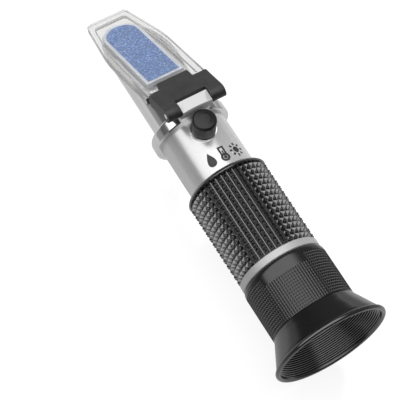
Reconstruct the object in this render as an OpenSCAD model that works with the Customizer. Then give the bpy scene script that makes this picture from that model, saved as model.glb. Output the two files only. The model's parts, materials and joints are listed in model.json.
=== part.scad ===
// Handheld optical refractometer with a hinged daylight plate and a focusing eyepiece.
// The optical axis runs along Y: the eyecup looks towards -Y and the prism end points to +Y.
// The instrument lies on its eyecup rim, with the origin under the middle of its length.

/* [Tube and grip] */
// Radius of the metal main tube
tube_r = 13.5; // [13.3:0.05:13.7]
// Wall thickness of the main tube
tube_wall = 1.6; // [1.4:0.1:1.8]
// Radius over the ribbed rubber grip
grip_r = 16.5; // [15.5:0.1:18]
// Length of the rubber grip
grip_len = 37.8; // [34:0.1:38]
// Bare tube showing in front of the grip
bare_len = 23.7; // [22:0.1:26]

/* [Eyepiece] */
// Radius of the eyecup's rim
rim_r = 23.1; // [21:0.1:25]
// Radius of the eyecup's opening
opening_r = 21.2; // [19:0.1:21.5]
// Length of the flared part of the eyecup
flare_len = 12.3; // [11.5:0.1:13]
// Radius of the focusing ring
focus_r = 17.0; // [16.4:0.1:18]
// Length of the focusing ring
focus_len = 21.2; // [20.8:0.1:21.4]

/* [Front end] */
// Radius of the prism housing
housing_r = 12.1; // [11.8:0.1:12.4]
// Radius of the housing's flange
flange_r = 15.7; // [15:0.1:16.5]
// Length of the housing's flange
flange_len = 5.1; // [4.6:0.1:5.4]
// Angle between the prism face and the optical axis
slope = 26.7; // [25:0.1:28]

/* [Daylight plate] */
// Half width of the plate
plate_half_w = 12.85; // [12.2:0.05:13.4]
// Half width of the plate at its tip
plate_tip_half_w = 8.7; // [7:0.1:10]
// Length of the plate from the hinge block to its tip
plate_len = 56.8; // [54:0.1:60]
// Depth of the plate's skirt
plate_depth = 3.1; // [2.8:0.1:3.1]
// Thickness of the plate's clear web
web = 1.4; // [1.2:0.1:1.4]

/* [Calibration] */
// Distance of the calibration screw behind the flange
screw_back = 6.1; // [6:0.1:6.4]
// Radius of the screw's rubber cap
cap_r = 4.65; // [4.4:0.05:4.65]

/* [Hidden] */
$fn = 96;

fit = 0.05;          // running clearance of a shaft in its bore
slack = 0.3;         // clearance between parts that pass each other
eps = 0.01;

// Stations along the optical axis, from the rim of the eyecup
focus_start = flare_len;
focus_end = focus_start + focus_len;
ring_start = focus_end + slack;
ring_len = 3.2;
grip_start = ring_start + ring_len;
grip_end = grip_start + grip_len;
flange_start = grip_end + bare_len;
flange_end = flange_start + flange_len;
screw_y = flange_start - screw_back;
tube_bore = tube_r - tube_wall;
spigot_r = tube_r - 0.4;   // end of the tube in the housing's flange
spigot_len = 3;
cord_r = 0.35;             // O-ring between the two

// Focusing cell, carried in the rear end of the tube
sleeve_r = 15.6;           // the eyecup's sleeve, pushed into the focusing ring
sleeve_len = 4.1;
cell_start = focus_start + 5.15;
cell_flange = 1.55;
cell_flange_r = tube_r + 0.6;
cell_r = tube_bore - fit;
cell_len = 15.5;
tube_start = cell_start + 3.55;
glass_r = 10.2;            // radius of the cell's lenses
key_r = 0.9;
key_y = cell_start + 12.5;
focus_travel = 3.7;

// Hinge line of the plate: the sloping frame starts there, with y along the plate, z off its face
hinge_line = [0, flange_start + 16.7, 14.4];
pin_u = -17.0;
pin_w = -0.3;
pin_r = 1.0;
pin_y = hinge_line[1] + pin_u * cos(slope) + pin_w * sin(slope);
pin_z = hinge_line[2] - pin_u * sin(slope) + pin_w * cos(slope);
knuckle_r = 2.6;
block_half_w = 12.2;
block_top = 2.3;
notch_half_w = 6.5;
lug_half_w = notch_half_w - slack;
lug_top = 23.3;
lug_crown_r = 60;
lug_head_r = 2.7;
skirt = 2.3;         // thickness of the plate's skirt
tip_wall = 3.0;      // thickness of the skirt across the tip
plate_back = -2.7;   // rear end of the plate's skirt, along the slope
tongue_half_w = 9;   // tongue of the plate, held in the hinge block
tongue_len = 8;
stud_x = 4.5;        // the two screws through the tongue
stud_u = -5.5;
stud_r = 0.85;
stud_head_r = 1.55;

// Prism window, along the slope
window_start = 7.3;
window_end = 48.4;
window_half_w = 6.6;
prism_top = -web - 0.1;
prism_floor = -9.6;
prism_rear = flange_start + 21.5;
seat = -plate_depth - slack;   // the housing's sloping face
seal_w = 1.3;

// Calibration screw, along Z
bush_flat = 14.3;
bush_top = 18.0;
bush_r = 3.6;
screw_r = 1.0;
head_r = 2.6;
head_z = 15.45;
cap_top = 22.0;

// Reticle and its holder
reticle_r = 9.6;
reticle_y = grip_start + 6;

// Objective carrier, across the tube
carrier_half = 2.0;
carrier_r = tube_bore - 0.7;
lens_r = 7.0;
strip_z = -8.2;
strip_t = 0.6;
strip_w = 6.0;
compensator_y = screw_y - 20;
compensator_r = 6.3;

overall_len = hinge_line[1] + plate_len * cos(slope);

// Moves the stations above to the part's own frame
module placed() {
    translate([0, -overall_len / 2, rim_r]) children();
}

// Turns a shape drawn up the Z axis so that it runs along the optical axis from station y
module along(y) {
    translate([0, y, 0]) rotate([-90, 0, 0]) children();
}

module on_slope() {
    translate(hinge_line) rotate([-slope, 0, 0]) children();
}

module rod(y0, y1, r) {
    along(y0) cylinder(r = r, h = y1 - y0);
}

module ring(y0, y1, r_out, r_in) {
    difference() {
        rod(y0, y1, r_out);
        rod(y0 - 1, y1 + 1, r_in);
    }
}

// A hole or a peg across the part, along X
module cross(y, z, r, half_len) {
    translate([-half_len, y, z]) rotate([0, 90, 0]) cylinder(r = r, h = 2 * half_len);
}

// A lens: a disc with two domed faces, each inside a flat rim
module lens(y, r, edge, rise) {
    clear = r - 1.1;
    ball = (clear * clear + rise * rise) / (2 * rise);
    half = asin(clear / ball);
    dome = [for (i = [0:6]) [ball * sin(half * i / 6), rise - ball * (1 - cos(half * i / 6))]];
    along(y) rotate_extrude() polygon(concat(
        [for (p = dome) [p[0], -p[1]]], [[r, 0], [r, edge]],
        [for (i = [6:-1:0]) [dome[i][0], edge + dome[i][1]]]));
}

// ---------- fixed body ----------

module main_tube() color("silver") placed() difference() {
    union() {
        rod(tube_start, flange_start, tube_r);
        rod(flange_start - eps, flange_start + spigot_len, spigot_r);
    }
    rod(tube_start - 1, flange_start + 4, tube_bore);
    // groove for the O-ring under the flange
    ring(flange_start + 1.1, flange_start + 2, tube_r, spigot_r - 2 * cord_r);
    // slot that keeps the focusing cell from turning
    translate([-key_r - fit, key_y - focus_travel - key_r - 0.4, -tube_r - 1])
        cube([2 * (key_r + fit), focus_travel + 2 * key_r + 0.8, 4]);
    translate([0, screw_y, 5]) cylinder(r = 3, h = 12);
}

module rubber_grip() color("#1b1b1c") placed() along(grip_start) rotate_extrude()
    polygon([[tube_r, 0], [grip_r - 0.5, 0], [grip_r - 0.1, 0.4], [grip_r, 1],
        [grip_r, grip_len - 1], [grip_r - 0.1, grip_len - 0.4], [grip_r - 0.5, grip_len],
        [tube_r, grip_len]]);

module rear_ring() color("silver") placed() along(ring_start) rotate_extrude()
    polygon([[tube_r, 0], [grip_r - 0.4, 0], [grip_r - 0.1, 0.3], [grip_r - 0.1, ring_len - 0.3],
        [grip_r - 0.4, ring_len], [tube_r, ring_len]]);

// Outline of the prism window as seen square to the sloping face, grown by g
module window_outline(g = 0) {
    nose = window_half_w + g;
    translate([-nose, window_start - g])
        square([2 * nose, window_end - window_half_w - window_start + g]);
    translate([0, window_end - window_half_w]) circle(r = nose);
}

// The wedge under the window: square rear face, level floor and sloping top
module prism_wedge(g, top) {
    reach = 46;
    intersection() {
        on_slope() translate([0, 0, -reach]) linear_extrude(reach + top) window_outline(g);
        translate([-reach, prism_rear - g, prism_floor - g]) cube([2 * reach, 2 * reach, 2 * reach]);
    }
}

// The lug between the block's arms: a head about the pin on a neck from the flange
module lug() {
    intersection() {
        union() {
            cross(pin_y, pin_z, lug_head_r, lug_half_w);
            translate([-lug_half_w, flange_start, tube_r - 0.4])
                cube([2 * lug_half_w, pin_y + 1 - flange_start, pin_z - tube_r + 0.4]);
        }
        translate([0, 0, lug_top - lug_crown_r])
            rod(flange_start - 5, flange_end + 5, lug_crown_r);
    }
}

module front_housing() color("#c9cbce") placed() difference() {
    union() {
        along(flange_start) rotate_extrude() polygon(concat(
            [[0, 0], [flange_r - 0.4, 0], [flange_r, 0.4]],
            [for (a = [0:15:90]) [flange_r - 1.4 + 1.4 * cos(a), flange_len - 1.4 + 1.4 * sin(a)]],
            [[0, flange_len]]));
        rod(flange_end - eps, flange_start + 66, housing_r);
        lug();
    }
    // everything above the sloping seat of the prism
    on_slope() translate([-20, -6, seat]) cube([40, 80, 40]);
    // socket of the tube, light path and pocket of the prism
    rod(flange_start - 1, flange_start + spigot_len, spigot_r);
    rod(flange_start, prism_rear - 0.1, housing_r - 1.7);
    prism_wedge(0.1, 5);
    cross(pin_y, pin_z, pin_r, 20);
}

module housing_o_ring() color("#161616") placed() along(flange_start + 1.55) rotate_extrude()
    translate([spigot_r - cord_r, 0]) circle(r = cord_r, $fn = 24);

module hinge_pin() color("silver") placed() cross(pin_y, pin_z, pin_r, block_half_w);

module measuring_prism() color("#5f86c4") placed() prism_wedge(0, prism_top);

module prism_seal() color("#d9e0dc") placed() on_slope() difference() {
    translate([0, 0, seat]) linear_extrude(prism_top - seat - 0.1) window_outline(seal_w);
    translate([0, 0, seat - 1]) linear_extrude(8) window_outline(fit);
}

module screw_bush() color("silver") placed() translate([0, screw_y, 0]) difference() {
    union() {
        translate([0, 0, tube_bore + 0.05]) cylinder(r = 3, h = 2);
        difference() {
            translate([0, 0, 11]) cylinder(r = cap_r + 0.4, h = bush_flat - 11);
            rod(-20, 20, tube_r);
        }
        translate([0, 0, tube_r]) cylinder(r = bush_r, h = bush_top - tube_r);
    }
    cylinder(r = screw_r + fit, h = 30);
    translate([0, 0, head_z - fit]) cylinder(r = head_r + 0.1, h = 10);
}

module screw_retainer() color("silver") placed() translate([0, screw_y, 0]) difference() {
    translate([0, 0, head_z + 1.55]) cylinder(r = head_r + 0.1, h = bush_top - head_z - 1.55);
    cylinder(r = 1.7, h = 30);
}

// Two rings that the objective carrier slides between
module carrier_guides() color("#2a2a2c") placed() for (y = [-carrier_half - 1.7, carrier_half + 0.1])
    ring(screw_y + y, screw_y + y + 1.6, tube_bore, 9.2);

module field_stop() color("#202022") placed()
    ring(grip_end - 15, grip_end - 13.8, tube_bore, 6.5);

module reticle_holder() color("#2a2a2c") placed() difference() {
    ring(reticle_y - 1, reticle_y + 4, tube_bore, 8.2);
    rod(reticle_y - 2, reticle_y + 1.5, reticle_r);
}

module reticle() color("#dfe9ea") placed() rod(reticle_y, reticle_y + 1.5, reticle_r);

module reticle_retainer() color("#2a2a2c") placed()
    ring(reticle_y - 1, reticle_y, reticle_r, 8.2);

// ---------- daylight plate and its hinge block ----------

// Half width of the plate at distance u along the slope, with a soft bend into the taper
function plate_half(u) =
    let (bend = 31, blend = 6, taper = (plate_half_w - plate_tip_half_w) / (plate_len - bend))
    u < bend - blend ? plate_half_w
    : u > bend + blend ? plate_half_w - taper * (u - bend)
    : plate_half_w - taper * pow(u - bend + blend, 2) / (4 * blend);

// Plan of the plate, inset by g, with eased corners at the tip
module plate_plan(g, back, tip) {
    ease = 1.2;
    side = concat([back], [25, 28, 31, 34, 37, tip - ease]);
    tip_x = plate_half(tip) - g;
    right = concat([for (u = side) [plate_half(u) - g, u]],
        [[tip_x - 0.35 * ease, tip - 0.3 * ease], [tip_x - ease, tip]]);
    left = [for (i = [len(right) - 1:-1:0]) [-right[i][0], right[i][1]]];
    polygon(concat(right, left));
}

module daylight_plate() color([0.85, 0.88, 0.9, 0.5]) placed() on_slope() difference() {
    union() {
        translate([0, 0, -plate_depth]) linear_extrude(plate_depth)
            plate_plan(0, plate_back, plate_len);
        // tongue held in the hinge block
        translate([-tongue_half_w, -tongue_len, -web])
            cube([2 * tongue_half_w, tongue_len, web]);
    }
    translate([0, 0, -plate_depth - 1]) linear_extrude(plate_depth + 1 - web)
        plate_plan(skirt, plate_back + skirt, plate_len - tip_wall);
    for (x = [-stud_x, stud_x]) translate([x, stud_u, -5]) cylinder(r = stud_r, h = 8);
}

module hinge_block() color("#222223") placed() on_slope() difference() {
    union() {
        // slab with a sloping front face
        translate([-block_half_w, 0, 0]) rotate([90, 0, 90]) linear_extrude(2 * block_half_w)
            polygon([[pin_u, pin_w - knuckle_r], [plate_back - 0.1, pin_w - knuckle_r],
                [-4.7, block_top], [pin_u, block_top]]);
        translate([-block_half_w, pin_u, pin_w]) rotate([0, 90, 0])
            cylinder(r = knuckle_r, h = 2 * block_half_w);
        // tab over the end of the plate
        translate([-notch_half_w, -tongue_len, 0])
            cube([2 * notch_half_w, tongue_len - 0.2, block_top]);
    }
    // notch for the lug
    translate([-notch_half_w, pin_u - 10, -10]) cube([2 * notch_half_w, 13, 20]);
    // slot of the plate's tongue
    translate([-tongue_half_w, -tongue_len, -web])
        cube([2 * tongue_half_w, tongue_len + 2, web]);
    // eased front corners
    for (s = [-1, 1]) translate([s * block_half_w, -2.6, 0]) rotate(45)
        translate([-0.9, -0.9, -5]) cube([1.8, 1.8, 10]);
    translate([-20, pin_u, pin_w]) rotate([0, 90, 0]) cylinder(r = pin_r + fit, h = 40);
    for (x = [-stud_x, stud_x]) translate([x, stud_u, -5]) {
        cylinder(r = stud_r, h = 6.2);
        cylinder(r = stud_head_r, h = 2.6);
    }
}

module plate_screws() color("silver") placed() on_slope()
    for (x = [-stud_x, stud_x]) translate([x, stud_u, -2.9]) {
        cylinder(r = stud_r, h = 3.9);
        cylinder(r = stud_head_r, h = 0.5);
    }

// ---------- calibration screw and its cap ----------

module screw_cap() color("#1a1a1b") placed() translate([0, screw_y, 0]) difference() {
    rotate_extrude() polygon(concat(
        [[0, bush_flat + slack], [cap_r, bush_flat + slack]],
        [for (a = [0:15:60]) [cap_r - 1.3 + 1.3 * cos(a), cap_top - 1.7 + 1.3 * sin(a)]],
        [[2, cap_top - 0.1], [0, cap_top]]));
    translate([0, 0, 10]) cylinder(r = bush_r + fit, h = bush_top + slack - 10);
}

module calibration_screw() color("silver") placed() translate([0, screw_y, 0]) difference() {
    union() {
        translate([0, 0, 8]) cylinder(r = screw_r, h = head_z - 8 + eps);
        translate([0, 0, head_z]) cylinder(r = head_r, h = 1.4);
    }
    translate([-5, -0.3, head_z + 0.7]) cube([10, 0.6, 2]);
}

// ---------- objective carrier with its temperature compensator ----------

module lens_carrier() color("#3a3a3d") placed() difference() {
    ring(screw_y - carrier_half, screw_y + carrier_half, carrier_r, lens_r);
    rod(screw_y - carrier_half - 1, screw_y + 0.6, lens_r + 0.4);
    translate([0, screw_y, 7.65]) cylinder(r = screw_r + fit, h = 5);
    translate([-strip_w / 2, screw_y - carrier_half - 1, strip_z])
        cube([strip_w, 2, strip_t]);
}

module objective_lens() color("#dfe9ea") placed() lens(screw_y - 0.8, lens_r + 0.4, 1.4, 0.8);

module objective_clamp_ring() color("#2a2a2c") placed()
    ring(screw_y - carrier_half, screw_y - 0.8, lens_r + 0.4, lens_r - 0.6);

module bimetal_strip() color("#b98a4a") placed()
    translate([-strip_w / 2, compensator_y - 1.5, strip_z])
        cube([strip_w, screw_y - carrier_half + 1 - compensator_y + 1.5, strip_t]);

module compensator_holder() color("#3a3a3d") placed() difference() {
    ring(compensator_y - 1.5, compensator_y + 1.5, 8.8, compensator_r);
    translate([-strip_w / 2, compensator_y - 2, strip_z]) cube([strip_w, 4, strip_t]);
}

module compensator_prism() color("#dfe9ea") placed() intersection() {
    rod(compensator_y - 1, compensator_y + 1, compensator_r);
    translate([-10, compensator_y - 1, -10]) rotate([4, 0, 0]) cube([20, 10, 30]);
}

// ---------- focusing cell ----------

module lens_cell() color("#2a2a2c") placed() difference() {
    union() {
        rod(cell_start, cell_start + cell_flange, cell_flange_r);
        rod(cell_start, cell_start + cell_len, cell_r);
    }
    rod(cell_start - 1, cell_start + cell_len + 1, 9);
    rod(cell_start - 1, cell_start + 11.5, glass_r);
    translate([0, key_y, -tube_r]) cylinder(r = key_r, h = 3);
}

module lens_retainer() color("#1c1c1e") placed() ring(cell_start, cell_start + 2.4, glass_r, 9.3);

module eye_lens() color("#dfe9ea") placed() lens(cell_start + 2.4, glass_r, 1.8, 1.2);

module lens_spacer() color("#1c1c1e") placed() ring(cell_start + 4.2, cell_start + 8.5, glass_r, 9.4);

module field_lens() color("#dfe9ea") placed() lens(cell_start + 8.5, glass_r, 3, 0.6);

module guide_key() color("silver") placed() translate([0, key_y, -tube_r + 0.6])
    cylinder(r = key_r, h = 2.4);

// ---------- focusing ring and eyecup ----------

module focus_ring() color("#1e1e20") placed() along(focus_start) rotate_extrude() polygon([
    [sleeve_r, 0], [focus_r - 0.2, 0], [focus_r, 0.3], [focus_r, focus_len - 0.6],
    [focus_r - 0.4, focus_len], [tube_r + fit, focus_len], [tube_r + fit, 8.2],
    [cell_flange_r + fit, 8.2], [cell_flange_r + fit, 5.1], [13.4, 5.1], [13.4, sleeve_len],
    [sleeve_r, sleeve_len]]);

module cell_retainer() color("silver") placed()
    ring(cell_start + cell_flange + 0.1, cell_start + cell_flange + 1.2, cell_flange_r + fit, 12.2);

module eyecup() color("#19191a") placed() along(0) rotate_extrude() polygon([
    [opening_r + 0.2, 0], [rim_r - 0.7, 0], [rim_r - 0.2, 0.25], [rim_r, 0.85], [rim_r - 0.2, 1.4],
    [rim_r - 1, 2.3], [focus_r + 1.1, 9.8], [focus_r, focus_start], [sleeve_r, focus_start],
    [sleeve_r, focus_start + sleeve_len], [14.1, focus_start + sleeve_len], [14.5, focus_start - 1],
    [opening_r - 0.6, 1.6], [opening_r, 0.3]]);

main_tube();
rubber_grip();
rear_ring();
front_housing();
housing_o_ring();
hinge_pin();
measuring_prism();
prism_seal();
screw_bush();
screw_retainer();
carrier_guides();
field_stop();
reticle_holder();
reticle();
reticle_retainer();
hinge_block();
daylight_plate();
plate_screws();
screw_cap();
calibration_screw();
lens_carrier();
objective_lens();
objective_clamp_ring();
bimetal_strip();
compensator_holder();
compensator_prism();
lens_cell();
eye_lens();
field_lens();
lens_spacer();
lens_retainer();
guide_key();
focus_ring();
cell_retainer();
eyecup();
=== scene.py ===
"""Looks of a handheld refractometer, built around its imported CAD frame."""

import json
import math

import bmesh
import bpy
from mathutils import Matrix, Vector


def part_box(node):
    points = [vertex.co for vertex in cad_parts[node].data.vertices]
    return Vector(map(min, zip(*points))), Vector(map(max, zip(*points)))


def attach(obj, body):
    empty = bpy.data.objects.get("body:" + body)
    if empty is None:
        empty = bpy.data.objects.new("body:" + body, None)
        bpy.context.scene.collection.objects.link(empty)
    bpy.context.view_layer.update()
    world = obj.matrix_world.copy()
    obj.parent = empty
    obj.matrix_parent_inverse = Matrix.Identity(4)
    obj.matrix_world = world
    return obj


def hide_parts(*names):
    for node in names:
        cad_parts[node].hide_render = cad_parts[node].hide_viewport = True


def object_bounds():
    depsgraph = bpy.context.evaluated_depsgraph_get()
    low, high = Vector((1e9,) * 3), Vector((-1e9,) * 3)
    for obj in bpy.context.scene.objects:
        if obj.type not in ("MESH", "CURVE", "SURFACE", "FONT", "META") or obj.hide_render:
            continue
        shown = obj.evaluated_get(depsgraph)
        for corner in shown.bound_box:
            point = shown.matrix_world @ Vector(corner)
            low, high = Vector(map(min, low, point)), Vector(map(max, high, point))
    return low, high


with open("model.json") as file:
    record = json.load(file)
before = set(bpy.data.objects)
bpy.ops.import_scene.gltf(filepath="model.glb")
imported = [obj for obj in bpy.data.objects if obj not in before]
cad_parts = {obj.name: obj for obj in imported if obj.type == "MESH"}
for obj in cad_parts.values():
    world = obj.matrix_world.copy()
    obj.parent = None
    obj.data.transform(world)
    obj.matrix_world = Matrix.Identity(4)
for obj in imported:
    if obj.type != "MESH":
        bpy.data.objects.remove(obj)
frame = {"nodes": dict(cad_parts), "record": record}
cad_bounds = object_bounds()
NODES = frame["nodes"]
MM = 0.001

# ---------------------------------------------------------------- camera
# The photograph's view of the instrument: it lies along Y with its plate up.
VIEW_AZIMUTH = -37.1
VIEW_ELEVATION = 63.0
VIEW_ROLL = 7.35
VIEW_DISTANCE = 683 * MM
VIEW_AIM = Vector((-9.97, -7.20, 17.11)) * MM
LENS = 164.2


def add_camera():
    """A camera at the view's azimuth and elevation, rolled about its own line of sight."""
    az, el, roll = (math.radians(a) for a in (VIEW_AZIMUTH, VIEW_ELEVATION, VIEW_ROLL))
    back = Vector((math.sin(az) * math.cos(el), -math.cos(az) * math.cos(el), math.sin(el)))
    right = Vector((0, 0, 1)).cross(back).normalized()
    up = back.cross(right)
    turned_right = right * math.cos(roll) + up * math.sin(roll)
    turned_up = up * math.cos(roll) - right * math.sin(roll)
    data = bpy.data.cameras.new("camera")
    data.lens = LENS
    data.sensor_width = 36
    data.clip_start = 0.01
    data.clip_end = 20
    camera = bpy.data.objects.new("camera", data)
    rotation = Matrix((turned_right, turned_up, back)).transposed().to_4x4()
    camera.matrix_world = Matrix.Translation(VIEW_AIM + back * VIEW_DISTANCE) @ rotation
    bpy.context.scene.collection.objects.link(camera)
    bpy.context.scene.camera = camera


# ---------------------------------------------------------------- node helpers
class Shader:
    """A material's node tree with short calls for the nodes used here."""

    def __init__(self, name, **sockets):
        self.material = bpy.data.materials.new(name)
        self.material.use_nodes = True
        self.tree = self.material.node_tree
        self.bsdf = self.tree.nodes["Principled BSDF"]
        for key, value in sockets.items():
            self.bsdf.inputs[key.replace("_", " ")].default_value = value

    def node(self, kind, **values):
        """Adds a node. Each value goes to the input socket of that name, or to the setting."""
        made = self.tree.nodes.new(kind)
        for key, value in values.items():
            if key in made.inputs:
                made.inputs[key].default_value = value
            else:
                setattr(made, key, value)
        return made

    def link(self, out, into):
        self.tree.links.new(out, into)

    def place(self, scale=(1, 1, 1)):
        """Object coordinates, stretched by scale."""
        coord = self.node("ShaderNodeTexCoord")
        mapping = self.node("ShaderNodeMapping")
        mapping.inputs["Scale"].default_value = scale
        self.link(coord.outputs["Object"], mapping.inputs["Vector"])
        return mapping.outputs["Vector"]

    def noise(self, size, detail=3.0, scale=(1, 1, 1)):
        """Noise whose features are about size metres across."""
        made = self.node("ShaderNodeTexNoise", Scale=1 / size, Detail=detail)
        self.link(self.place(scale), made.inputs["Vector"])
        return made.outputs["Fac"]

    def ramp(self, value, stops):
        """Turns a value into a colour by stops of (position, colour)."""
        made = self.node("ShaderNodeValToRGB")
        elements = made.color_ramp.elements
        while len(elements) < len(stops):
            elements.new(0.5)
        for element, (position, colour) in zip(elements, stops):
            element.position = position
            element.color = (*colour, 1)
        self.link(value, made.inputs["Fac"])
        return made.outputs["Color"]

    def spread(self, value, low, high):
        """Stretches a value from 0 to 1 over low to high."""
        made = self.node("ShaderNodeMapRange")
        made.inputs["To Min"].default_value = low
        made.inputs["To Max"].default_value = high
        self.link(value, made.inputs["Value"])
        return made.outputs["Result"]

    def bump(self, height, strength, distance):
        made = self.node("ShaderNodeBump", Strength=strength, Distance=distance)
        self.link(height, made.inputs["Height"])
        self.link(made.outputs["Normal"], self.bsdf.inputs["Normal"])

    def drive(self, socket, value):
        self.link(value, self.bsdf.inputs[socket])


def grey(value):
    return (value, value, value)


# ---------------------------------------------------------------- the frame's own sizes
rim_low, rim_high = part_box("eyecup")
grip_low, grip_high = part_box("rubber_grip")
focus_low, focus_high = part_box("focus_ring")
AXIS_Z = (rim_low.z + rim_high.z) / 2
RIM_Y = rim_low.y
RIM_R = rim_high.x
FOCUS_R = focus_high.x
GRIP_R = grip_high.x
TUBE_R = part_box("main_tube")[1].x
LUG_FOOT = AXIS_Z + 16.4 * MM   # the lug rises above the flange from here
PLATE_SLOPE = math.radians(26.7)   # the closed plate slopes down towards the prism's end


# ---------------------------------------------------------------- materials
def rubber(name, shade, rough_low, rough_high, grain=0.00012, bump=0.15, gloss=0.85,
           fleck=0.1, ior=1.5):
    """Black rubber or plastic. fleck is how much its shade varies from grain to grain."""
    s = Shader(name, Specular_IOR_Level=gloss, IOR=ior)
    fine = s.noise(grain, 4)
    patch = s.noise(0.006, 3)
    broad = s.ramp(patch, [(0.3, grey(shade * 0.85)), (0.7, grey(shade * 1.2))])
    close = s.ramp(fine, [(0.35, grey(1 - fleck)), (0.65, grey(1))])
    shades = s.node("ShaderNodeMix", data_type="RGBA", blend_type="MULTIPLY")
    shades.inputs["Factor"].default_value = 1.0
    s.link(broad, shades.inputs["A"])
    s.link(close, shades.inputs["B"])
    s.drive("Base Color", shades.outputs["Result"])
    s.drive("Roughness", s.spread(fine, rough_low, rough_high))
    s.bump(fine, bump, 0.00004)
    return s.material


def metal(name, shade, rough_low, rough_high, streak=(1, 1, 1), metallic=1.0):
    """Machined metal. streak stretches its brush marks."""
    s = Shader(name, Metallic=metallic)
    brushed = s.noise(0.0004, 4, streak)
    cloud = s.noise(0.02, 2)
    s.drive("Base Color", s.ramp(cloud, [(0.3, grey(shade * 0.97)), (0.7, grey(shade))]))
    s.drive("Roughness", s.spread(brushed, rough_low, rough_high))
    s.bump(brushed, 0.04, 0.00002)
    return s.material


def cast_metal():
    """Polished housing, with a matt sandblasted lug standing off it."""
    s = Shader("cast_metal", Metallic=1.0)
    split = s.node("ShaderNodeSeparateXYZ")
    coord = s.node("ShaderNodeTexCoord")
    s.link(coord.outputs["Object"], split.inputs[0])
    on_lug = s.node("ShaderNodeMapRange")
    for key, value in (("From Min", LUG_FOOT), ("From Max", LUG_FOOT + 0.3 * MM)):
        on_lug.inputs[key].default_value = value
    s.link(split.outputs["Z"], on_lug.inputs["Value"])
    lug = on_lug.outputs["Result"]
    cloud = s.noise(0.02, 2)
    tint = s.node("ShaderNodeMix", data_type="RGBA", blend_type="MULTIPLY")
    tint.inputs["Factor"].default_value = 1.0
    s.link(s.ramp(cloud, [(0.3, grey(0.74)), (0.7, grey(0.8))]), tint.inputs["A"])
    s.link(s.ramp(lug, [(0.0, grey(1)), (1.0, grey(0.78))]), tint.inputs["B"])
    s.drive("Base Color", tint.outputs["Result"])
    s.drive("Metallic", s.spread(lug, 1.0, 0.35))
    fine = s.noise(0.0003, 3)
    rough = s.node("ShaderNodeMath", operation="MULTIPLY_ADD")
    s.link(fine, rough.inputs[0])
    rough.inputs[1].default_value = 0.08
    s.link(s.spread(lug, 0.10, 0.55), rough.inputs[2])
    s.drive("Roughness", rough.outputs[0])
    s.bump(fine, 0.05, 0.00002)
    return s.material


def clear_plastic():
    s = Shader("clear_plastic", Transmission_Weight=0.97, IOR=1.49)
    # painted shade: faces steep to the plate get a greyer colour, for how a clear wall looks seen
    # along it
    normal = s.node("ShaderNodeTexCoord").outputs["Normal"]
    facing = s.node("ShaderNodeVectorMath", operation="DOT_PRODUCT")
    s.link(normal, facing.inputs[0])
    facing.inputs[1].default_value = (0, math.sin(PLATE_SLOPE), math.cos(PLATE_SLOPE))
    flat = s.node("ShaderNodeMath", operation="ABSOLUTE")
    s.link(facing.outputs["Value"], flat.inputs[0])
    painted_wall_shade = [(0.3, (0.50, 0.50, 0.49)), (0.9, (0.95, 0.95, 0.945))]
    s.drive("Base Color", s.ramp(flat.outputs[0], painted_wall_shade))
    haze = s.noise(0.003, 3)
    s.drive("Roughness", s.spread(haze, 0.02, 0.07))
    return s.material


def prism_blue():
    """Blue prism face with a fine sparkle, as frosted glass shows under a clear cover."""
    s = Shader("prism_blue", IOR=1.6, Coat_Weight=0.3, Coat_Roughness=0.1)
    speck = s.noise(0.0008, 6)
    broad = s.noise(0.006, 2)
    colour = s.ramp(speck, [
        (0.36, (0.015, 0.075, 0.340)),
        (0.47, (0.045, 0.180, 0.530)),
        (0.56, (0.110, 0.290, 0.710)),
        (0.66, (0.400, 0.600, 0.950)),
    ])
    tint = s.node("ShaderNodeMix", data_type="RGBA", blend_type="MULTIPLY")
    tint.inputs["Factor"].default_value = 1.0
    s.link(colour, tint.inputs["A"])
    s.link(s.ramp(broad, [(0.35, (0.85, 0.88, 0.9)), (0.65, (1, 1, 1))]), tint.inputs["B"])
    s.drive("Base Color", tint.outputs["Result"])
    s.drive("Roughness", s.spread(speck, 0.25, 0.5))
    s.bump(speck, 0.3, 0.00005)
    return s.material


def pale_seal():
    s = Shader("pale_seal", Roughness=0.45)
    patch = s.noise(0.004, 3)
    s.drive("Base Color", s.ramp(patch, [(0.35, (0.76, 0.80, 0.88)), (0.65, (0.86, 0.89, 0.95))]))
    return s.material


def optical_glass():
    s = Shader("optical_glass", Transmission_Weight=1.0, IOR=1.52, Coat_Weight=0.2)
    s.bsdf.inputs["Base Color"].default_value = (0.95, 0.97, 0.98, 1)
    s.drive("Roughness", s.spread(s.noise(0.002), 0.0, 0.03))
    return s.material


def brass():
    s = Shader("brass", Metallic=1.0)
    patch = s.noise(0.002, 3)
    s.drive("Base Color", s.ramp(patch, [(0.3, (0.62, 0.45, 0.19)), (0.7, (0.78, 0.6, 0.3))]))
    s.drive("Roughness", s.spread(patch, 0.22, 0.4))
    return s.material


def ink():
    s = Shader("ink", Roughness=0.5)
    s.drive("Base Color", s.ramp(s.noise(0.0006), [(0.3, grey(0.012)), (0.7, grey(0.035))]))
    return s.material


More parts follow.
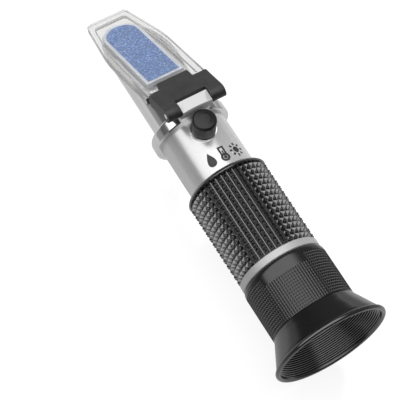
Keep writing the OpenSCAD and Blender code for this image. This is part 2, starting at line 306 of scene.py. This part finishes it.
MATERIALS = {
    "satin_metal": metal("satin_metal", 0.64, 0.20, 0.32, streak=(1, 12, 1), metallic=0.6),
    "cast_metal": cast_metal(),
    "bright_steel": metal("bright_steel", 0.78, 0.08, 0.18),
    "grip_rubber": rubber("grip_rubber", 0.003, 0.06, 0.12, bump=0.08, gloss=1.0, ior=1.8),
    "focus_rubber": rubber("focus_rubber", 0.005, 0.16, 0.26, bump=0.1, gloss=0.75),
    "eyecup_rubber": rubber("eyecup_rubber", 0.004, 0.14, 0.22, bump=0.1, gloss=0.9, ior=1.65),
    "cap_rubber": rubber("cap_rubber", 0.006, 0.30, 0.42, gloss=0.45),
    "seal_rubber": rubber("seal_rubber", 0.010, 0.4, 0.6),
    "black_plastic": rubber("black_plastic", 0.034, 0.38, 0.55, grain=0.0006, bump=0.3,
                            gloss=0.5, fleck=0.45),
    "black_anodised": rubber("black_anodised", 0.015, 0.45, 0.6),
    "clear_plastic": clear_plastic(),
    "prism_glass": prism_blue(),
    "pale_seal": pale_seal(),
    "optical_glass": optical_glass(),
    "brass": brass(),
}
INK = ink()


def finish_piece(piece, slot, body):
    """Gives a Blender piece its material and ties it to its body."""
    piece.data.materials.clear()
    piece.data.materials.append(MATERIALS[slot])
    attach(piece, body)


# ---------------------------------------------------------------- CAD nodes: finish and eased edges
def ease_edges(node, width):
    """Rounds a CAD node's hard edges with modifiers; its mesh stays as it is."""
    weld = node.modifiers.new("weld", "WELD")
    weld.merge_threshold = 1e-6
    bevel = node.modifiers.new("bevel", "BEVEL")
    bevel.width = width
    bevel.segments = 3
    bevel.limit_method = "ANGLE"
    bevel.angle_limit = math.radians(35)
    bevel.harden_normals = True


for row in frame["record"]["subparts"]:
    NODES[row["node"]].data.materials.clear()
    NODES[row["node"]].data.materials.append(MATERIALS[row["material_slot"]])
# the ring behind the grip is duller than the tube
NODES["rear_ring"].data.materials[0] = metal("ring_metal", 0.52, 0.48, 0.60, metallic=0.6)

ease_edges(NODES["hinge_block"], 0.35 * MM)
ease_edges(NODES["daylight_plate"], 0.3 * MM)
ease_edges(NODES["hinge_pin"], 0.2 * MM)


# ---------------------------------------------------------------- turned pieces with relief
def turned(name, rings, columns):
    """A closed mesh turned about the optical axis, columns steps round. Each ring is a function
    that gives (radius, distance from the rim) at a step. The last ring joins the first."""
    verts = []
    for ring in rings:
        for i in range(columns):
            angle = 2 * math.pi * i / columns
            radius, station = ring(i)
            verts.append((radius * math.sin(angle), RIM_Y + station,
                          AXIS_Z + radius * math.cos(angle)))
    faces = []
    for j in range(len(rings)):
        k = (j + 1) % len(rings)
        for i in range(columns):
            n = (i + 1) % columns
            faces.append((j * columns + i, j * columns + n, k * columns + n, k * columns + i))
    mesh = bpy.data.meshes.new(name)
    mesh.from_pydata(verts, [], faces)
    mesh.validate()
    piece = bpy.data.objects.new(name, mesh)
    bpy.context.scene.collection.objects.link(piece)
    work = bmesh.new()
    work.from_mesh(mesh)
    bmesh.ops.recalc_face_normals(work, faces=work.faces)
    work.to_mesh(mesh)
    work.free()
    return piece


def smooth(piece, angle):
    """Shades a piece smooth across edges that bend by less than angle degrees."""
    for polygon in piece.data.polygons:
        polygon.use_smooth = True
    piece.data.set_sharp_from_angle(angle=math.radians(angle))


def plain(radius, station):
    """A ring of one radius all round."""
    return lambda i: (radius, station)


# ---------------------------------------------------------------- rubber grip
GRIP_COLUMNS = 40
GRIP_ROWS = 14
COLUMN_STEPS = 9      # mesh steps over one pyramid, round the grip
COLUMN_FLOOR = 1      # of these, how many lie on the groove's floor
COLUMN_CLIMB = 3      # and how many climb each side of the pyramid
ROW_STEPS = 8         # the same along the grip, where the grooves are sharp
ROW_FLOOR = 0
ROW_CLIMB = 3.6
GRIP_RELIEF = 1.30 * MM
GRIP_BAND_FRONT = 2.1 * MM
GRIP_BAND_REAR = 0.5 * MM
# smooth front band: a narrow crest and a long chamfer down to the tube, as how far each
# point lies below the grip's radius and behind its front end, in mm
GRIP_BAND = ((0.95, 2.05), (0.35, 1.95), (0.10, 1.80), (0.0, 1.60), (0.02, 1.40),
             (0.12, 1.20), (0.45, 0.75), (0.85, 0.35), (1.20, 0.12), (1.60, 0.0))


def rise(step, steps, floor, climb):
    """Height of a pyramid knurl, 0 to 1, at a mesh step across its cell: a groove floor steps
    wide, then climb steps up to a small flat top and the same down again."""
    return max(0.0, min(step - floor, steps - step, climb) / climb)


def grip_ring(row_step, station):
    """A ring through the pyramids, row_step mesh steps into its row of them."""
    def at(i):
        across = rise(i % COLUMN_STEPS, COLUMN_STEPS, COLUMN_FLOOR, COLUMN_CLIMB)
        along = rise(row_step, ROW_STEPS, ROW_FLOOR, ROW_CLIMB)
        return (GRIP_R - GRIP_RELIEF * (1 - min(across, along)), station)
    return at


def make_grip():
    start = grip_low.y - RIM_Y
    end = grip_high.y - RIM_Y
    first = start + GRIP_BAND_REAR
    pitch = (end - GRIP_BAND_FRONT - first) / GRIP_ROWS
    inner = TUBE_R + 0.02 * MM
    # plain rear end, eased at its edge
    rings = [plain(inner, start), plain(GRIP_R - 0.9 * MM, start),
             plain(GRIP_R - 0.75 * MM, start + 0.1 * MM)]
    for row in range(GRIP_ROWS):
        for step in range(ROW_STEPS):
            rings.append(grip_ring(step, first + pitch * (row + step / ROW_STEPS)))
    last = first + pitch * GRIP_ROWS
    rings.append(grip_ring(0, last))
    for drop, back in GRIP_BAND:
        rings.append(plain(GRIP_R - drop * MM, end - back * MM))
    rings.append(plain(inner, end))
    piece = turned("grip_ribs", rings, GRIP_COLUMNS * COLUMN_STEPS)
    smooth(piece, 22)
    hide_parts("rubber_grip")
    finish_piece(piece, "grip_rubber", "root")


# ---------------------------------------------------------------- focusing ring
WAFFLE_COLUMNS = 100
WAFFLE_STEPS = 5
WAFFLE_ROWS = 16
WAFFLE_DROP = 0.02 * MM       # the ribs' crests lie this far inside the CAD ring
PANEL_RELIEF = 0.75 * MM      # the deep side panels
CENTRE_RELIEF = 0.28 * MM     # the two shallow panels between them
CENTRE_ROWS = 13              # rows of pits in a shallow panel, the rest of it is plain
PANEL_HALF_COLUMNS = 9        # half width of a shallow panel, in cells
PANEL_TURN = -17              # where the upper one lies, in degrees from the top
SLEEVE_R = 15.6 * MM          # the eyecup's sleeve, held in the ring's rear end
SLEEVE_LENGTH = 4.1 * MM
THROAT_R = 13.4 * MM          # lip in front of the sleeve
CELL_POCKET_R = 14.15 * MM    # pocket for the lens cell's flange, in front of the lip
CELL_POCKET_REAR = 5.1 * MM
CELL_POCKET_FRONT = 8.2 * MM


def shallow_panel(column):
    """True in one of the two shallow panels, which lie opposite each other."""
    turned_column = column - PANEL_TURN / 360 * WAFFLE_COLUMNS
    half = WAFFLE_COLUMNS / 2
    return abs((turned_column + half / 2) % half - half / 2) < PANEL_HALF_COLUMNS


def pit(step):
    """Depth of a pit, 0 to 1, at a mesh step across its cell, from one rib's crest to the next."""
    return (0, 0.45, 1, 1, 0.45)[step]


def waffle_ring(row, row_step, station):
    """A ring through the waffle's pits, row_step mesh steps into its row of them."""
    def at(i):
        column = i / WAFFLE_STEPS
        relief = PANEL_RELIEF
        if shallow_panel(column):
            relief = CENTRE_RELIEF if row < CENTRE_ROWS else 0
        depth = relief * pit(row_step) * pit(i % WAFFLE_STEPS)
        return (FOCUS_R - WAFFLE_DROP - depth, station)
    return at


def make_focus_ring():
    start = focus_low.y - RIM_Y
    end = focus_high.y - RIM_Y
    first = start + 0.5 * MM
    last = end - 2.4 * MM
    pitch = (last - first) / WAFFLE_ROWS
    crest = FOCUS_R - WAFFLE_DROP
    bore = TUBE_R + 0.05 * MM
    rings = [plain(SLEEVE_R, start), plain(FOCUS_R - 0.35 * MM, start),
             plain(FOCUS_R - 0.2 * MM, start + 0.12 * MM)]
    for row in range(WAFFLE_ROWS):
        for step in range(WAFFLE_STEPS):
            rings.append(waffle_ring(row, step, first + pitch * (row + step / WAFFLE_STEPS)))
    rings.append(waffle_ring(WAFFLE_ROWS, 0, last))
    # plain front band with a rounded end, then the bores back to the sleeve
    rings += [plain(crest, last + 0.12 * MM), plain(FOCUS_R - 0.04 * MM, last + 0.6 * MM),
              plain(FOCUS_R - 0.10 * MM, last + 1.2 * MM), plain(FOCUS_R - 0.25 * MM, end - 0.6 * MM),
              plain(FOCUS_R - 0.45 * MM, end - 0.25 * MM), plain(FOCUS_R - 0.9 * MM, end)]
    rings += [plain(bore, end), plain(bore, start + CELL_POCKET_FRONT),
              plain(CELL_POCKET_R, start + CELL_POCKET_FRONT),
              plain(CELL_POCKET_R, start + CELL_POCKET_REAR),
              plain(THROAT_R, start + CELL_POCKET_REAR), plain(THROAT_R, start + SLEEVE_LENGTH),
              plain(SLEEVE_R, start + SLEEVE_LENGTH)]
    piece = turned("focus_ring_waffle", rings, WAFFLE_COLUMNS * WAFFLE_STEPS)
    smooth(piece, 80)
    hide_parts("focus_ring")
    finish_piece(piece, "focus_rubber", "eyepiece")


# ---------------------------------------------------------------- eyecup
CUP_RIDGES = 16
CUP_GROOVE = 0.40 * MM        # depth of the grooves between the rings
CUP_LAND = 0.26               # part of each ring's length that is land
CUP_LAND_SLOPE = math.radians(18)
CUP_GROOVE_WALL = 0.12        # part of it that the groove's steep wall takes
CUP_COLUMNS = 192
CUP_LIP = 0.95 * MM           # radius of the rounded lip
CUP_BORE = 14.1 * MM          # the sleeve's bore at its front end


def arc(radius, station, size, start, stop, steps):
    """Points (radius, station) on an arc, its angles in degrees from straight outwards."""
    points = []
    for k in range(steps + 1):
        angle = math.radians(start + (stop - start) * k / steps)
        points.append((radius + size * math.cos(angle), station + size * math.sin(angle)))
    return points


def make_eyecup():
    neck = focus_low.y - RIM_Y
    profile = [(SLEEVE_R, neck + SLEEVE_LENGTH), (SLEEVE_R, neck), (FOCUS_R - 0.15 * MM, neck)]
    # the flare: a soft neck, a nearly straight cone and a shallow groove under the lip
    profile += [(FOCUS_R + 0.02 * MM, neck - 0.3 * MM), (FOCUS_R + 0.45 * MM, neck - 1.3 * MM),
                (FOCUS_R + 1.15 * MM, neck - 2.6 * MM), (RIM_R - 1.55 * MM, 3.2 * MM),
                (RIM_R - 1.2 * MM, 2.5 * MM), (RIM_R - 1.1 * MM, 2.1 * MM),
                (RIM_R - 0.85 * MM, 1.85 * MM)]
    profile += arc(RIM_R - CUP_LIP, CUP_LIP, CUP_LIP, 60, -180, 14)
    # funnel down to the throat, cut with fine rings: a narrow land, then a deep groove
    mouth = Vector((RIM_R - 2 * CUP_LIP - 0.1 * MM, 1.1 * MM))
    throat = Vector((14.55 * MM, neck - 0.6 * MM))
    pitch = (throat.y - mouth.y) / CUP_RIDGES
    for k in range(CUP_RIDGES):
        here = mouth.lerp(throat, k / CUP_RIDGES)
        land = CUP_LAND * pitch
        profile.append((here.x, here.y))
        profile.append((here.x - land * math.tan(CUP_LAND_SLOPE), here.y + land))
        profile.append((here.x + CUP_GROOVE, here.y + land + CUP_GROOVE_WALL * pitch))
    profile.append((throat.x, throat.y))
    profile.append((CUP_BORE, neck + SLEEVE_LENGTH))
    piece = turned("eyecup_flare", [plain(r, y) for r, y in profile], CUP_COLUMNS)
    smooth(piece, 35)
    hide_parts("eyecup")
    finish_piece(piece, "eyecup_rubber", "eyepiece")


# ---------------------------------------------------------------- printed signs on the tube
SIGN_STATION = 80.3 * MM     # distance of their middle from the eyecup's rim
SIGN_SIZE = 6.0 * MM
SIGN_LIFT = 0.03 * MM        # how far their outer face stands off the tube
SIGN_THICKNESS = 0.025 * MM
SIGN_STRIPS = 12             # cuts on each side of a sign's middle


def disc(x, y, radius, steps=20):
    """A round spot, as a list of one outline."""
    return [[(x + radius * math.sin(2 * math.pi * k / steps),
              y + radius * math.cos(2 * math.pi * k / steps)) for k in range(steps)]]


def bar(x0, y0, x1, y1, width):
    """A straight stroke between two points, as a list of one outline."""
    start = Vector((x0, y0))
    stop = Vector((x1, y1))
    side = (stop - start).orthogonal().normalized() * width / 2
    return [[tuple(start - side), tuple(stop - side), tuple(stop + side), tuple(start + side)]]


def loop(x, y, radius, width, steps=28):
    """A round stroke, as a list of short outlines side by side."""
    shapes = []
    for k in range(steps):
        start = 2 * math.pi * k / steps
        stop = 2 * math.pi * (k + 1) / steps
        inner = radius - width / 2
        outer = radius + width / 2
        corners = ((inner, start), (inner, stop), (outer, stop), (outer, start))
        shapes.append([(x + r * math.sin(turn), y + r * math.cos(turn)) for r, turn in corners])
    return shapes


def thermometer():
    shapes = loop(0, -0.28, 0.22, 0.15) + disc(0, -0.28, 0.12)
    shapes += bar(-0.15, -0.12, -0.15, 0.42, 0.12) + bar(0.15, -0.12, 0.15, 0.42, 0.12)
    return shapes + bar(-0.21, 0.46, 0.21, 0.46, 0.12) + bar(0, -0.3, 0, 0.2, 0.09)


def droplet():
    shapes = []
    for k in range(16):
        rows = []
        for t in (math.pi * k / 16, math.pi * (k + 1) / 16):
            rows.append((0.40 * math.sin(t) * math.sin(t / 2) ** 1.4, 0.5 * math.cos(t)))
        (x0, y0), (x1, y1) = rows
        shapes.append([(-x0, y0), (-x1, y1), (x1, y1), (x0, y0)])
    return shapes


def sun():
    shapes = disc(0, 0, 0.22)
    for k in range(8):
        across = math.sin(math.pi * k / 4)
        up = math.cos(math.pi * k / 4)
        shapes += bar(0.31 * across, 0.31 * up, 0.5 * across, 0.5 * up, 0.13)
    return shapes


def print_sign(name, shapes, angle):
    """Lays a flat sign, drawn about the origin in unit size, on the tube at an angle from the top.
    It is cut into narrow strips along the tube so that it bends round it."""
    mesh = bpy.data.meshes.new(name)
    work = bmesh.new()
    for shape in shapes:
        work.faces.new([work.verts.new((x, y, 0)) for x, y in shape])
    for k in range(-SIGN_STRIPS, SIGN_STRIPS + 1):
        everything = work.verts[:] + work.edges[:] + work.faces[:]
        cut = (k / SIGN_STRIPS / 2, 0, 0)
        bmesh.ops.bisect_plane(work, geom=everything, plane_co=cut, plane_no=(1, 0, 0))
    radius = TUBE_R + SIGN_LIFT
    for vert in work.verts:
        turn = math.radians(angle) + vert.co.x * SIGN_SIZE / radius
        vert.co = (radius * math.sin(turn), RIM_Y + SIGN_STATION + vert.co.y * SIGN_SIZE,
                   AXIS_Z + radius * math.cos(turn))
    for face in work.faces:
        centre = face.calc_center_median()
        if face.normal.dot(Vector((centre.x, 0, centre.z - AXIS_Z))) < 0:
            face.normal_flip()
    work.to_mesh(mesh)
    work.free()
    piece = bpy.data.objects.new(name, mesh)
    bpy.context.scene.collection.objects.link(piece)
    thick = piece.modifiers.new("thickness", "SOLIDIFY")
    thick.thickness = SIGN_THICKNESS
    thick.offset = -1
    piece.data.materials.append(INK)
    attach(piece, "root")


make_grip()
make_focus_ring()
make_eyecup()
print_sign("droplet_sign", droplet(), -17)
print_sign("thermometer_sign", thermometer(), 6)
print_sign("sun_sign", sun(), 31)


# ---------------------------------------------------------------- stage and light
# The studio: a broad soft box overhead that reaches low on the left, over dim surroundings.
# Its edges are slopes from straight up, in X and in Y.
BOX_LEFT = -2.4
BOX_RIGHT = 0.40
BOX_FRONT = 1.15
BOX_BACK = -0.6
BOX_GLOW = 1.75
LEFT_BLUR = 0.3             # how far each edge fades, either way from its slope
RIGHT_BLUR_IN = 0.15
RIGHT_BLUR_OUT = 0.35
FRONT_BLUR = 0.2
BACK_BLUR = 0.25
LEFT_GLOW = 0.12            # the surroundings, to each side of the box
RIGHT_GLOW = 0.20
FRONT_GLOW = 0.06
BACK_GLOW = 0.03
SKY_THROUGH_GLASS = 0.8     # how white the surroundings look through the clear plastic
FLOOR_THROUGH_GLASS = 0.5
FLOOR_GLOW_NEAR = 0.42      # how the floor shines on the object, close to it and far away
FLOOR_GLOW_FAR = 0.05
FLOOR_NEAR = 60 * MM
FLOOR_LIFT = 0.84           # the floor's own glow, as the camera sees it
FLOOR_HALF = 3.0
KEY_PLACE = (0.92, 0.56, 0.53)   # the one lamp, aimed at the origin
KEY_SIZE = 0.22
KEY_POWER = 16.0


def add_stage():
    """A white floor that looks plain to the camera and shines softly on the object near it."""
    half = FLOOR_HALF
    corners = [(-half, -half, 0), (half, -half, 0), (half, half, 0), (-half, half, 0)]
    mesh = bpy.data.meshes.new("floor")
    mesh.from_pydata(corners, [], [(0, 1, 2, 3)])
    floor = bpy.data.objects.new("floor", mesh)
    floor.location.z = cad_bounds[0].z - 0.02 * MM
    bpy.context.scene.collection.objects.link(floor)
    s = Shader("floor_white", Roughness=0.9, Specular_IOR_Level=0.0)
    s.bsdf.inputs["Base Color"].default_value = (*grey(0.20), 1)
    # a bright sweep of floor under the instrument, so that it reads as white paper
    s.bsdf.inputs["Emission Color"].default_value = (1, 1, 1, 1)
    path = s.node("ShaderNodeLightPath")
    direct = s.node("ShaderNodeMath", operation="MAXIMUM")
    s.link(path.outputs["Is Camera Ray"], direct.inputs[0])
    through = s.node("ShaderNodeMath", operation="MULTIPLY")
    s.link(path.outputs["Is Transmission Ray"], through.inputs[0])
    through.inputs[1].default_value = FLOOR_THROUGH_GLASS
    s.link(through.outputs[0], direct.inputs[1])
    coord = s.node("ShaderNodeTexCoord")
    split = s.node("ShaderNodeSeparateXYZ")
    s.link(coord.outputs["Object"], split.inputs[0])
    aside = s.node("ShaderNodeMath", operation="ABSOLUTE")
    s.link(split.outputs["X"], aside.inputs[0])
    glow = s.node("ShaderNodeMapRange", interpolation_type="SMOOTHSTEP")
    s.link(aside.outputs[0], glow.inputs["Value"])
    for key, value in (("From Min", FLOOR_NEAR), ("From Max", 1.5 * FLOOR_NEAR),
                       ("To Min", FLOOR_GLOW_NEAR), ("To Max", FLOOR_GLOW_FAR)):
        glow.inputs[key].default_value = value
    seen = s.node("ShaderNodeMapRange")
    s.link(direct.outputs[0], seen.inputs["Value"])
    s.link(glow.outputs["Result"], seen.inputs["To Min"])
    seen.inputs["To Max"].default_value = FLOOR_LIFT
    s.drive("Emission Strength", seen.outputs["Result"])
    floor.data.materials.append(s.material)


def add_light(name, location, size, power):
    """A round lamp aimed at the origin, left out of reflections."""
    data = bpy.data.lights.new(name, "AREA")
    data.shape = "DISK"
    data.size = size
    data.energy = power
    lamp = bpy.data.objects.new(name, data)
    lamp.location = location
    lamp.visible_glossy = False
    lamp.rotation_euler = (Vector((0, 0, 0)) - Vector(location)).to_track_quat("-Z", "Y").to_euler()
    bpy.context.scene.collection.objects.link(lamp)


def add_studio():
    """The surroundings: white to the camera, the soft box and its dim room to the object."""
    world = bpy.data.worlds.new("studio")
    bpy.context.scene.world = world
    world.use_nodes = True
    tree = world.node_tree
    tree.nodes.clear()

    def math_node(operation, a, b):
        made = tree.nodes.new("ShaderNodeMath")
        made.operation = operation
        for socket, value in zip(made.inputs, (a, b)):
            if isinstance(value, (int, float)):
                socket.default_value = value
            else:
                tree.links.new(value, socket)
        return made.outputs[0]

    def step(value, low, high, first, last):
        """Goes smoothly from first to last while value goes from low to high."""
        made = tree.nodes.new("ShaderNodeMapRange")
        made.interpolation_type = "SMOOTHSTEP"
        tree.links.new(value, made.inputs["Value"])
        ends = (("From Min", low), ("From Max", high), ("To Min", first), ("To Max", last))
        for key, number in ends:
            made.inputs[key].default_value = number
        return made.outputs["Result"]

    coord = tree.nodes.new("ShaderNodeTexCoord")
    split = tree.nodes.new("ShaderNodeSeparateXYZ")
    tree.links.new(coord.outputs["Generated"], split.inputs[0])
    x, y, z = split.outputs
    height = math_node("MAXIMUM", z, 0.02)
    side = math_node("DIVIDE", x, height)
    ahead = math_node("DIVIDE", y, height)
    left = step(side, BOX_LEFT - LEFT_BLUR, BOX_LEFT + LEFT_BLUR, 0, 1)
    right = step(side, BOX_RIGHT - RIGHT_BLUR_IN, BOX_RIGHT + RIGHT_BLUR_OUT, 1, 0)
    front = step(ahead, BOX_FRONT - FRONT_BLUR, BOX_FRONT + FRONT_BLUR, 1, 0)
    behind = step(ahead, BOX_BACK - BACK_BLUR, BOX_BACK + BACK_BLUR, 0, 1)
    across = math_node("MULTIPLY", left, right)
    along = math_node("MULTIPLY", front, behind)
    box = math_node("MULTIPLY", across, along)
    # the surroundings go from left to right, and are dimmer in front and behind
    around = step(x, -0.4, 0.5, LEFT_GLOW, RIGHT_GLOW)
    dim_front = step(y, 0.45, 0.9, 1.0, FRONT_GLOW / LEFT_GLOW)
    dim_back = step(y, -0.8, -0.3, BACK_GLOW / LEFT_GLOW, 1.0)
    around = math_node("MULTIPLY", math_node("MULTIPLY", around, dim_front), dim_back)
    lit = math_node("ADD", around, math_node("MULTIPLY", box, BOX_GLOW))
    path = tree.nodes.new("ShaderNodeLightPath")
    through = math_node("MULTIPLY", path.outputs["Is Transmission Ray"], SKY_THROUGH_GLASS)
    seen = math_node("MAXIMUM", path.outputs["Is Camera Ray"], through)
    unseen = math_node("SUBTRACT", 1.0, seen)
    strength = math_node("ADD", seen, math_node("MULTIPLY", lit, unseen))
    background = tree.nodes.new("ShaderNodeBackground")
    out = tree.nodes.new("ShaderNodeOutputWorld")
    background.inputs["Color"].default_value = (1, 1, 1, 1)
    tree.links.new(strength, background.inputs["Strength"])
    tree.links.new(background.outputs[0], out.inputs[0])


add_camera()
add_stage()
add_studio()
add_light("key", KEY_PLACE, KEY_SIZE, KEY_POWER)
bpy.context.scene.view_settings.view_transform = "Standard"
